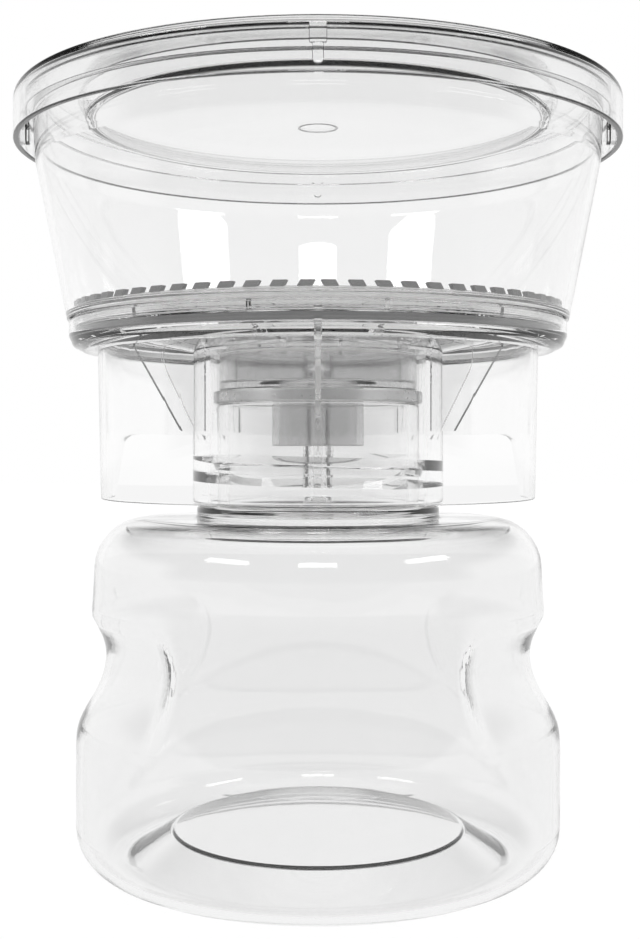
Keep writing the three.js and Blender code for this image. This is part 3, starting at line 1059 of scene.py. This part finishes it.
def makeRing():
    t = teeth
    outer, low = ringHigh.x, ringLow.z
    top = low + t["ringThickness"]
    points = flatRing(outer - t["ringWidth"], outer, low, top, t["ringEdge"])
    ring = turned("retaining_ring_clear", points)
    dress(ring, ringPlastic, "head", "ring_plastic", "retaining_ring")
    step = 360 / t["count"]
    half = t["count"] // 2
    for side, name in ((1, "ring_teeth_right"), (-1, "ring_teeth_left")):
        corners = [
            (-t["length"] / 2, top - t["sink"], t["edge"]),
            (t["length"] / 2, top - t["sink"], t["edge"]),
            (t["length"] / 2 - side * t["slant"], top + t["height"], t["edge"]),
            (-t["length"] / 2 - side * t["slant"], top + t["height"], t["edge"]),
        ]
        tooth = slab(name, rounded(corners), t["depth"], upright)
        tooth.data.transform(Matrix.Translation((0, -(outer - t["sink"] - t["depth"] / 2) * mm, 0)))
        copiesRound(tooth, half, side * step / 2, side * step, toothInk)
        dress(tooth, toothInk, "head", "ring_plastic")


makeFrit()
makeSeal()
makeMembrane()
makeRing()
print("seal, membrane, ring and frit made")

# funnel

funnel = {
    "wall": 1.5,
    "footRadius": 53.9,
    "kneeRadius": 60.5,
    "taperHeight": 33.4,
    "topRadius": 60.9,
    "flangeHeight": 3.8,
    "tongueInner": 50.95,
    "tongueOuter": 52.35,
    "seatLevel": 2.0,  # foot above the tongue's lower edge
    "tongueTop": 3.45,
}


def makeFunnel():
    f = funnel
    low, top, flange = funnelLow.z, funnelHigh.z, funnelHigh.x
    foot = low + f["seatLevel"]
    knee = foot + f["taperHeight"]
    tongueTop = low + f["tongueTop"]
    lean = (f["kneeRadius"] - f["footRadius"]) * (tongueTop - foot) / f["taperHeight"]
    made = turned(
        "funnel_clear",
        rounded(
            [
                (f["tongueInner"], low, 0.25),
                (f["tongueOuter"], low, 0.25),
                (f["tongueOuter"], foot, 0.1),
                (f["footRadius"], foot, 0.35),
                (f["kneeRadius"], knee, 6),
                (f["topRadius"], top - f["flangeHeight"], 0.15),
                (flange, top - f["flangeHeight"], 0.15),
                (flange, top, 0.5),
                (f["topRadius"] - f["wall"], top, 0.4),
                (f["kneeRadius"] - f["wall"], knee, 6),
                (f["footRadius"] - f["wall"] + lean, tongueTop, 0.3),
                (f["tongueInner"], tongueTop, 0.2),
            ]
        ),
    )
    dress(made, funnelPlastic, "head", "funnel_plastic", "funnel")


makeFunnel()
print("funnel made")

# lid

lid = {
    "wall": 1.3,
    "top": 1.5,
    "edgeFillet": 2.1,
    "recessRadius": 48.4,
    "recessLean": 2.4,
    "recessDepth": 3.8,
    "gateRadius": 4.3,
    "gateDepth": 0.4,
    "ribCount": 4,
    "ribWidth": 3.1,
    "ribTip": 2.0,
    "ribProud": 0.8,
    "ribShoulder": 3.6,
    "ribEnd": 1.7,
    "ribRound": 0.35,
}


def lidRibs(radius, top, bottom):
    d = lid
    under = top - d["top"]
    start = under + d["top"] / 2
    shoulder = under - d["ribShoulder"]
    corners = [
        (-d["ribWidth"] / 2, start, 0),
        (-d["ribWidth"] / 2, shoulder, 0.3),
        (-d["ribTip"] / 2, shoulder, 0.2),
        (-d["ribTip"] / 2, bottom + d["ribEnd"], 0.95),
        (d["ribTip"] / 2, bottom + d["ribEnd"], 0.95),
        (d["ribTip"] / 2, shoulder, 0.2),
        (d["ribWidth"] / 2, shoulder, 0.3),
        (d["ribWidth"] / 2, start, 0),
    ]
    inner = radius - d["wall"] - d["ribProud"]
    outer = radius - d["wall"] / 2
    rib = slab("lid_ribs", rounded(corners), outer - inner, upright)
    rib.data.transform(Matrix.Translation((0, -(inner + outer) / 2 * mm, 0)))
    softenEdges(rib, d["ribRound"])
    return copiesRound(rib, d["ribCount"], 0, 360 / d["ribCount"], lidPlastic)


def makeLid():
    d = lid
    radius, top, bottom = lidHigh.x, lidHigh.z, lidLow.z
    floor = top - d["recessDepth"]
    edge = d["recessRadius"] + d["recessLean"]
    thick = d["top"]
    inner = radius - d["wall"]
    made = turned(
        "lid_clear",
        rounded(
            [
                (0, floor - d["gateDepth"], 0),
                (d["gateRadius"] - d["gateDepth"], floor - d["gateDepth"], 0.3),
                (d["gateRadius"], floor, 0.3),
                (d["recessRadius"], floor, 0.8),
                (edge, top, 1.0),
                (radius, top, d["edgeFillet"]),
                (radius, bottom, 0.35),
                (inner, bottom, 0.35),
                (inner, top - thick, 0.8),
                (edge + thick / 2, top - thick, 0.15),
                (d["recessRadius"] + thick, floor - thick, 0.15),
                (0, floor - thick, 0),
            ],
            closed=False,
        ),
        closed=False,
    )
    joined(made, [lidRibs(radius, top, bottom)])
    dress(made, lidPlastic, "lid", "lid_plastic", "lid")


makeLid()
print("lid made")

# floor, backdrop and lights

studio = {  # lengths in metres
    "floorSize": 6.0,
    "floorLevel": -0.0001,
    "floorGlow": 0.93,  # in reflections and through plastic
    "floorWhite": 1.03,  # to the camera; the dull share near the object brings it back to 1
    "shadowReach": 0.32,  # the floor shows no shadow past this radius
    "shadowShare": 0.15,
    "floorGrey": 0.9,  # where the floor takes light
    "fill": 0.9,  # world light on dull surfaces
    "frontEdge": 0.3,  # frontShades hold from here forwards, 0 being the side and 1 the front
    "frontBlend": 4,
    "windowGlow": 6.0,
    "windowDistance": 0.413,
    "windowLow": 0.345,
    "windowHigh": 0.425,
}

# azimuth from the front in degrees, width in metres
windows = {"left": (-51, 0.185), "middle": (0, 0.15), "right": (63, 0.2)}

# grey of the world by height, from straight down at 0 to straight up at 1
backdropShades = [
    (0.0, 0.5),
    (0.3, 0.6),
    (0.36, 0.9),
    (0.5, 1.0),
    (0.6, 1.0),
    (0.65, 0.9),
    (0.69, 0.5),
    (0.74, 0.1),
    (0.9, 0.01),
]
frontShades = [(0.0, 0.5), (0.5, 0.4), (0.58, 0.04), (0.7, 0.02)]


def seenThroughGlass(graph):  # the backdrop shows to the camera, in reflections and through plastic
    path = graph.node("ShaderNodeLightPath").outputs
    camera = Wire(graph, path["Is Camera Ray"])
    glossy = Wire(graph, path["Is Glossy Ray"])
    through = Wire(graph, path["Is Transmission Ray"])
    return camera, camera.larger(glossy).larger(through)


def makeFloor():
    half = studio["floorSize"] / 2
    level = studio["floorLevel"]
    corners = [(-half, -half, level), (half, -half, level), (half, half, level), (-half, half, level)]
    floor = newObject("floor", corners, [[0, 1, 2, 3]])
    finish, graph, place = newFinish("floor_white")
    camera, shown = seenThroughGlass(graph)
    away = graph.wire("ShaderNodeVectorMath", {"operation": "LENGTH"}, {0: place}, "Value")
    near = (1 - away * (1 / studio["shadowReach"])).larger(0.0) * studio["shadowShare"]
    dull = graph.wire("ShaderNodeBsdfDiffuse", {}, {"Color": grey(studio["floorGrey"])})
    glow = graph.blend(camera, grey(studio["floorGlow"]), grey(studio["floorWhite"]))
    bright = graph.wire("ShaderNodeEmission", {}, {"Color": glow})
    endFinish(graph, graph.wire("ShaderNodeMixShader", {}, {0: shown - near * camera, 1: dull, 2: bright}))
    floor.data.materials.append(finish)


def makeWorld():
    world = bpy.data.worlds.new("studio")
    bpy.context.scene.world = world
    world.use_nodes = True
    world.node_tree.nodes.clear()
    graph = Graph(world.node_tree)
    camera, shown = seenThroughGlass(graph)
    direction = graph.wire("ShaderNodeTexCoord", output="Generated")
    parts = graph.node("ShaderNodeSeparateXYZ", {}, {"Vector": direction}).outputs
    level = Wire(graph, parts["Z"]) * 0.5 + 0.5
    backdrop = graph.wire("ShaderNodeValToRGB", {"stops": backdropShades}, {"Fac": level})
    behind = (Wire(graph, parts["Y"]) + studio["frontEdge"]) * studio["frontBlend"]
    behind = behind.larger(0.0).smaller(1.0)
    front = graph.wire("ShaderNodeValToRGB", {"stops": frontShades}, {"Fac": level})
    backdrop = graph.blend(behind, front, backdrop)
    lit = graph.blend(shown, grey(studio["fill"]), backdrop)
    sky = graph.wire("ShaderNodeBackground", {}, {"Color": graph.blend(camera, lit, grey(1.0))})
    graph.node("ShaderNodeOutputWorld", {}, {"Surface": sky})


def softWindow(side):
    s = studio
    azimuth, width = windows[side]
    lamp = bpy.data.lights.new("window_" + side, "AREA")
    lamp.shape = "RECTANGLE"
    lamp.size = width
    lamp.size_y = s["windowHigh"] - s["windowLow"]
    lamp.energy = s["windowGlow"] * math.pi * lamp.size * lamp.size_y
    made = bpy.data.objects.new("window_" + side, lamp)
    away = Matrix.Rotation(math.radians(azimuth), 3, "Z") @ Vector((0, -s["windowDistance"], 0))
    made.location = away + Vector((0, 0, (s["windowLow"] + s["windowHigh"]) / 2))
    made.rotation_euler = away.to_track_quat("Z", "Y").to_euler()
    bpy.context.scene.collection.objects.link(made)


makeFloor()
makeWorld()
for side in windows:
    softWindow(side)
print("stage lit")

scene = bpy.context.scene
scene.view_settings.view_transform = "Standard"
scene.cycles.max_bounces = 22
scene.cycles.transmission_bounces = 22
scene.cycles.transparent_max_bounces = 24
scene.cycles.glossy_bounces = 6
scene.cycles.caustics_reflective = False
